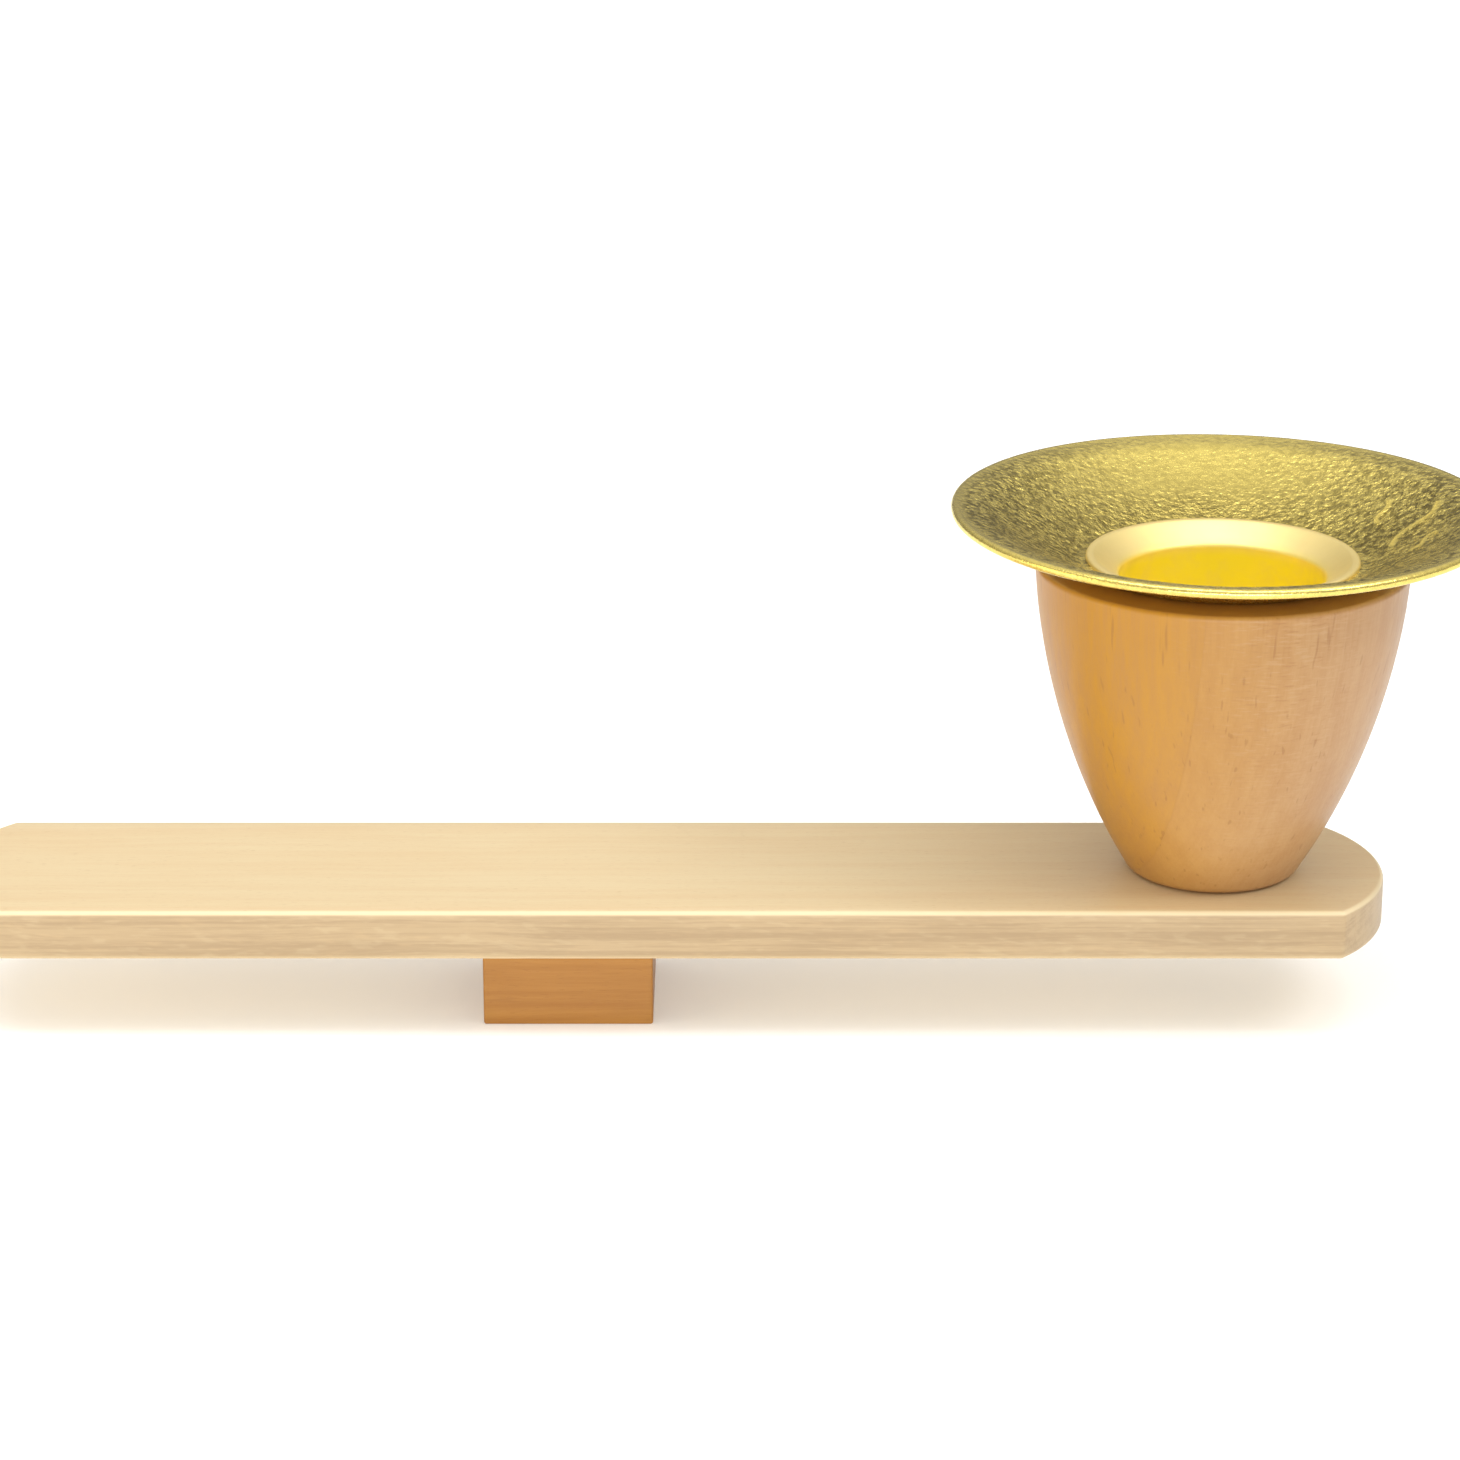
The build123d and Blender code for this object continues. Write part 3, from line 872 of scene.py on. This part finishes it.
class RACK_OT_block(Operator):
    """Makes the square beech block with its softened edges and drilled underside"""

    bl_idname = "rack.block"
    bl_label = "Block"

    def execute(self, context):
        settings = context.scene.rack_beech
        half = (BLOCK_HIGH[0] - BLOCK_LOW[0]) / 2
        soft = settings.block_round
        corner = np.linspace(0, math.pi / 2, 6)
        turn = np.concatenate([corner + quarter * math.pi / 2 for quarter in range(4)])
        normals = np.stack([np.cos(turn), np.sin(turn)], axis=-1)
        centres = [(1, 1), (-1, 1), (-1, -1), (1, -1)]
        outline = (half - soft) * np.repeat(centres, len(corner), axis=0) + soft * normals
        points = slab(outline, normals, (0.0, 0.0), BLOCK_LOW[2], BLOCK_HIGH[2], 0.9 * soft)
        piece = grid_piece("square_block", points)
        stand_radius = (STAND_HIGH[0] - STAND_LOW[0]) / 2 + GLUE_GAP
        screw_radius, head_hole = 2.55 * MM, 5.25 * MM
        head_seat = SCREWS_LOW[2] + 0.4 * MM
        holes = [((0.0, 0.0), stand_radius, BLOCK_LOW[2] - MM, STAND_HIGH[2] + MM)]
        for place in SCREW_PLACES:
            holes.append((place, screw_radius, SCREWS_LOW[2] - MM, BLOCK_HIGH[2] + MM))
            holes.append((place, head_hole, BLOCK_LOW[2] - MM, head_seat))
        drill(piece, holes)
        smooth(piece)
        material = beech("beech_block", settings.block_pale, settings.block_deep, BLOCK_CUT)
        finish_piece(piece, "rack", "support_block", material)
        return {"FINISHED"}


# ---- The turned cup ----


class RACK_OT_cup(Operator):
    """Turns the beech cup: rounded foot, long arc for a side, sloped mouth and bore"""

    bl_idname = "rack.cup"
    bl_label = "Cup"

    def execute(self, context):
        settings = context.scene.rack_beech
        height = CUP_TOP - CUP_LOW[2]
        foot = np.array([settings.cup_foot, -height])
        brim = np.array([settings.cup_brim, 0.0])
        side = arc_between(foot, brim, settings.cup_side, 1.6 * MM)
        insert_radius = (INSERT_HIGH[0] - INSERT_LOW[0]) / 2 + GLUE_GAP
        insert_top = INSERT_HIGH[2] - CUP_TOP + MM
        mouth, bore = settings.mouth_radius, settings.bore_radius
        slope_end = (mouth - bore) * settings.mouth_slope

        # The rounded foot and brim take the place of the side's first and last points.
        foot_line = [(insert_radius, -height), foot, side[8]]
        brim_line = [side[-9], brim, (mouth, 0.0)]
        profile = np.concatenate([
            [(0.0, insert_top), (insert_radius, insert_top)],
            rounded_line(foot_line, [settings.foot_round], 0.6 * MM), side[9:-9],
            rounded_line(brim_line, [settings.brim_round], 0.5 * MM),
            [(bore, -slope_end), (bore, -settings.bore_depth), (0.0, -settings.bore_depth)],
        ])
        piece = grid_piece("turned_cup", turned(profile, CUP_COLUMNS))
        smooth(piece)
        cut = {**CUP_CUT, "turn": settings.stave_turn, "seam": settings.stave_seam / MM}
        material = beech("beech_cup", settings.cup_pale, settings.cup_deep, cut)
        finish_piece(piece, "rack", "cup_body", material)
        return {"FINISHED"}


# ---- The brass ----


class RACK_OT_pan(Operator):
    """Hammers the brass drip pan: level floor, sloping side, flatter brim and rolled edge"""

    bl_idname = "rack.pan"
    bl_label = "Drip pan"

    def execute(self, context):
        settings = context.scene.rack_pan
        bead_centre = np.array([PAN_RADIUS, PAN_HIGH[2] - CUP_TOP]) - settings.bead
        crest = bead_centre + (0.0, settings.bead)
        brim_start = np.array([PAN_RADIUS - settings.brim_width, crest[1] - settings.brim_rise])
        brim = (crest - brim_start) / np.linalg.norm(crest - brim_start)
        top_gap, under_gap = 0.62 * MM, 1.3 * MM
        corners = [
            (settings.hole_radius, settings.sheet), (settings.floor_radius, settings.sheet),
            brim_start, crest - brim * top_gap,
        ]
        bends = [settings.bend, settings.brim_bend]
        top = rounded_line(corners, bends, 0.76 * MM)
        corners[-1] = crest - brim * under_gap
        under = offset_line(rounded_line(corners, bends, 1.6 * MM), -settings.sheet)
        roll = np.radians(np.linspace(180, 450, 15))
        bead = bead_centre + settings.bead * np.stack([np.cos(roll), np.sin(roll)], axis=-1)
        profile = np.concatenate([under, bead, top[::-1]])
        points = turned(profile, PAN_COLUMNS)

        # The marks go through the sheet, and leave the seat and the rolled edge smooth.
        x, y = (points[..., 0] - CUP_AXIS[0]) / MM, points[..., 1] / MM
        pitch = settings.dent_pitch / MM
        warp = smooth_field(x, y, 6.0, seed=21) * 0.9
        marks = dent_field(x + warp, y - warp, pitch, seed=5)
        broad = dent_field(x, y, 2.7 * pitch, seed=8)
        crease = np.exp(-np.abs(smooth_field(x, y, 9.0, seed=33)) / 0.05)
        radius = np.hypot(x, y) * MM
        to_back = np.sin(np.arctan2(y, x))
        behind = np.clip(to_back, 0, 1)

        # Towards the back, and underneath, the sheet was planished nearly smooth. Underneath, this
        # also keeps the brass bright and clear of tarnish: painted light on the pan's shaded
        # underside.
        calm = behind**2.5 * fade(radius, LIP_RADIUS, LIP_RADIUS + 22 * MM)
        struck = 1 - 0.88 * calm
        struck *= 1 - 0.85 * fade(radius, PAN_RADIUS - 6 * MM, PAN_RADIUS - 2.5 * MM)
        struck[:len(under)] = 0.2
        # Low at the back, by the socket's lip, the brass is painted dark as painted shade, and the
        # marks there are eased.
        low_back_shade = behind * (1 - fade(radius, LIP_RADIUS + 2 * MM, PAN_RADIUS - 12 * MM))
        raised = ripple(x, y)
        depth = settings.dent_depth * (0.55 * marks + 0.65 * broad - 0.50 * crease) * struck
        depth = (1 - 0.6 * low_back_shade) * depth - settings.crease * raised
        seat = np.full((len(profile), 1), LIP_RADIUS + 0.5 * MM)
        seat[:len(under)] *= 1.08
        reach_out = 1 - fade(radius, PAN_RADIUS - 4.2 * MM, PAN_RADIUS - 2.8 * MM)
        depth = depth * fade(radius, seat, seat + 2.0 * MM) * reach_out
        on_bead = slice(len(under), len(under) + len(bead))
        depth[on_bead] = 0
        tangent = np.gradient(profile, axis=0)
        tangent /= np.linalg.norm(tangent, axis=1, keepdims=True)
        outward = np.stack([tangent[:, 1], -tangent[:, 0]], axis=-1)
        outward[:len(under)] *= -1
        turn = np.linspace(0, 2 * math.pi, PAN_COLUMNS, endpoint=False)
        points[..., 0] -= depth * outward[:, :1] * np.cos(turn)
        points[..., 1] -= depth * outward[:, :1] * np.sin(turn)
        points[..., 2] -= depth * outward[:, 1:]

        # The rim is a little out of flat: it dips by the square of how far round to the front
        # a point lies, from nothing at the back.
        to_front = ((1 - to_back) / 2) ** 2
        points[..., 2] -= settings.front_dip * to_front * fade(radius, LIP_RADIUS, PAN_RADIUS)

        piece = grid_piece("hammered_pan", points, looped=True)
        struck[on_bead] = 0
        hollow = 0.5 * marks + 0.5 * broad - 0.6 * crease
        for name, values in zip(PAN_FIELDS, (hollow, struck, raised, low_back_shade)):
            layer = piece.data.attributes.new(name, "FLOAT", "POINT")
            layer.data.foreach_set("value", values.reshape(-1))
        smooth(piece, 50)
        finish_piece(piece, "pan", "drip_pan", hammered_brass())
        return {"FINISHED"}


class RACK_OT_socket(Operator):
    """Spins the candle socket: straight cup, sloping mouth and a lip turned down on the pan"""

    bl_idname = "rack.socket"
    bl_label = "Candle socket"

    def execute(self, context):
        settings = context.scene.rack_socket
        crown_height = SOCKET_HIGH[2] - CUP_TOP
        crown_radius = settings.bore + settings.cone_width
        floor_height = SOCKET_LOW[2] - CUP_TOP + settings.sheet
        corners = [
            (0.0, floor_height), (settings.bore, floor_height),
            (settings.bore, crown_height - settings.cone_drop), (crown_radius, crown_height),
            (LIP_RADIUS, crown_height), (LIP_RADIUS, settings.lip_rest),
        ]
        radii = [
            settings.floor_round, settings.throat_round, settings.crown_round, settings.edge_round
        ]
        inside = rounded_line(corners, radii, 0.35 * MM, 2.0 * MM)
        outside = offset_line(inside, -settings.sheet)
        outside[0, 0] = 0.0
        profile = np.concatenate([outside, inside[::-1]])
        piece = grid_piece("spun_socket", turned(profile, SOCKET_COLUMNS))
        smooth(piece, 50)
        finish_piece(piece, "socket", "candle_socket", spun_brass())
        return {"FINISHED"}


# ---- Fasteners: the frame's own solids, with their finishes ----


class RACK_OT_fasteners(Operator):
    """Finishes the bolt, washer, screws, inserts and dowels"""

    bl_idname = "rack.fasteners"
    bl_label = "Fasteners"

    def execute(self, context):
        settings = context.scene.rack_beech
        middle, brass_tone = (0.0, 0.0, 0.0), screen(226, 188, 104)
        zinc = small_metal("zinc_steel", screen(205, 208, 212), 0.30, CUP_AXIS)
        screw_zinc = small_metal("zinc_screws", screen(200, 203, 208), 0.32, middle)
        brass = small_metal("turned_brass", brass_tone, 0.28, CUP_AXIS)
        stand_brass = small_metal("turned_brass_stand", brass_tone, 0.28, middle)
        dowel = beech("beech_dowel", settings.board_pale, settings.board_deep, DOWEL_CUT)
        for node, material in (
            ("cup_bolt", zinc), ("cup_washer", zinc), ("block_screws", screw_zinc),
            ("cup_insert", brass), ("stand_insert", stand_brass), ("cup_dowels", dowel),
        ):
            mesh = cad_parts[node].data
            mesh.materials.clear()
            mesh.materials.append(material)
        return {"FINISHED"}


# ---- The stage ----


class RACK_OT_stage(Operator):
    """Lays the pale floor, hangs the soft lights and sets up the camera"""

    bl_idname = "rack.stage"
    bl_label = "Stage"

    def execute(self, context):
        settings = context.scene.rack_stage
        scene = context.scene
        rings = [(0.0, 0.0), (1.0, 0.0), (14.0, 0.0)]
        disc = turned(rings, FLOOR_COLUMNS, (0.0, 0.0), CAD_BOX[0][2])
        floor = grid_piece("pale_floor", disc[::-1, ::-1])
        floor.data.materials.append(floor_finish())

        self.sun(settings.sun)
        self.lamp("fill", (0.10, -2.2, 0.20), (1.8, 0.35), settings.fill, (1.0, 0.98, 0.95))
        self.lamp("glow", (-1.25, -0.45, 0.35), (0.8, 0.5), settings.glow, (1.0, 0.82, 0.50))
        self.room(settings.sky, settings.strip)

        camera = bpy.data.objects.new("camera", bpy.data.cameras.new("camera"))
        camera.data.lens = settings.lens
        camera.data.sensor_width = 36.0
        camera.data.clip_end = 60.0
        camera.location = settings.camera
        camera.rotation_euler = (math.pi / 2 - settings.tilt, 0.0, 0.0)
        scene.collection.objects.link(camera)
        scene.camera = camera
        scene.view_settings.view_transform = "Standard"
        scene.view_settings.look = "None"
        return {"FINISHED"}

    def sun(self, strength):
        """The key light: broad and soft, from high on the right in front."""
        lamp = bpy.data.objects.new("key", bpy.data.lights.new("key", "SUN"))
        lamp.data.energy = strength
        lamp.data.angle = math.radians(22)
        lamp.data.color = (1.0, 0.985, 0.96)
        self.aim(lamp, np.array([0.60, -0.30, 0.74]))

    def lamp(self, name, place, size, power, tone):
        """A soft oblong light that faces the cup."""
        lamp = bpy.data.objects.new(name, bpy.data.lights.new(name, "AREA"))
        lamp.data.shape = "RECTANGLE"
        lamp.data.size, lamp.data.size_y = size
        lamp.data.energy = power
        lamp.data.color = tone
        lamp.location = place
        self.aim(lamp, np.array(place) - (CUP_AXIS[0] * 0.6, 0.0, CUP_TOP))

    def aim(self, lamp, direction):
        """Turns a light so that it shines from a direction, with its long side level."""
        yaw = math.atan2(direction[1], direction[0]) + math.pi / 2
        pitch = math.atan2(math.hypot(direction[0], direction[1]), direction[2])
        lamp.rotation_euler = (pitch, 0.0, yaw)
        bpy.context.scene.collection.objects.link(lamp)

    def room(self, strength, panel):
        """A white room with a long bright panel overhead and a darker wall low down behind.

        The panel is where a ray's x / z and y / z both lie between their limits.
        """
        world = bpy.data.worlds.new("room")
        world.use_nodes = True
        nodes = Nodes(world.node_tree)
        x, y, z = nodes.split(nodes.node("ShaderNodeTexCoord"))
        white = nodes.spread(z, 0.05, 0.95, 0.46, 1.02)
        behind = nodes.spread(y, 0.25, 0.75, 0.0, 0.36)
        wall = nodes.times(behind, nodes.spread(z, 0.20, 0.70, 1.0, 0.0))
        level = nodes.times(white, nodes.plus(1.0, wall, -1.0))
        soft = 0.08
        for part, start, end in ((x, -0.75, 0.50), (y, -0.42, -0.02)):
            slope = nodes.reckon("DIVIDE", part, z)
            panel = nodes.times(panel, nodes.spread(slope, start, start + soft))
            panel = nodes.times(panel, nodes.spread(slope, end - soft, end, 1.0, 0.0))
        panel = nodes.times(panel, nodes.reckon("GREATER_THAN", z, 0.0))
        values = {0: nodes.plus(level, panel), 1: strength}
        nodes.node("ShaderNodeOutputWorld", {0: nodes.node("ShaderNodeBackground", values)})
        bpy.context.scene.world = world


class RACK_PT_sidebar(Panel):
    """Lists the pieces of the candle rack and their settings"""

    bl_idname = "RACK_PT_sidebar"
    bl_label = "Candle rack"
    bl_space_type = "VIEW_3D"
    bl_region_type = "UI"
    bl_category = "Candle rack"

    def draw(self, context):
        for maker in MAKERS:
            self.layout.operator(maker.bl_idname)
        for group in GROUPS:
            settings = getattr(context.scene, group)
            box = self.layout.box()
            for name in settings.__annotations__:
                box.prop(settings, name)


MAKERS = (
    RACK_OT_board, RACK_OT_block, RACK_OT_cup, RACK_OT_pan, RACK_OT_socket, RACK_OT_fasteners,
    RACK_OT_stage,
)
GROUPS = {
    "rack_beech": RackBeech, "rack_pan": RackPan, "rack_socket": RackSocket,
    "rack_stage": RackStage,
}


def register():
    for group, kind in GROUPS.items():
        bpy.utils.register_class(kind)
        setattr(bpy.types.Scene, group, PointerProperty(type=kind))
    for kind in (*MAKERS, RACK_PT_sidebar):
        bpy.utils.register_class(kind)


def unregister():
    for kind in (RACK_PT_sidebar, *reversed(MAKERS)):
        bpy.utils.unregister_class(kind)
    for group, kind in GROUPS.items():
        delattr(bpy.types.Scene, group)
        bpy.utils.unregister_class(kind)


def main():
    register()
    bpy.ops.rack.board()
    bpy.ops.rack.block()
    bpy.ops.rack.cup()
    bpy.ops.rack.pan()
    bpy.ops.rack.socket()
    bpy.ops.rack.fasteners()
    bpy.ops.rack.stage()


if __name__ == "__main__":
    main()
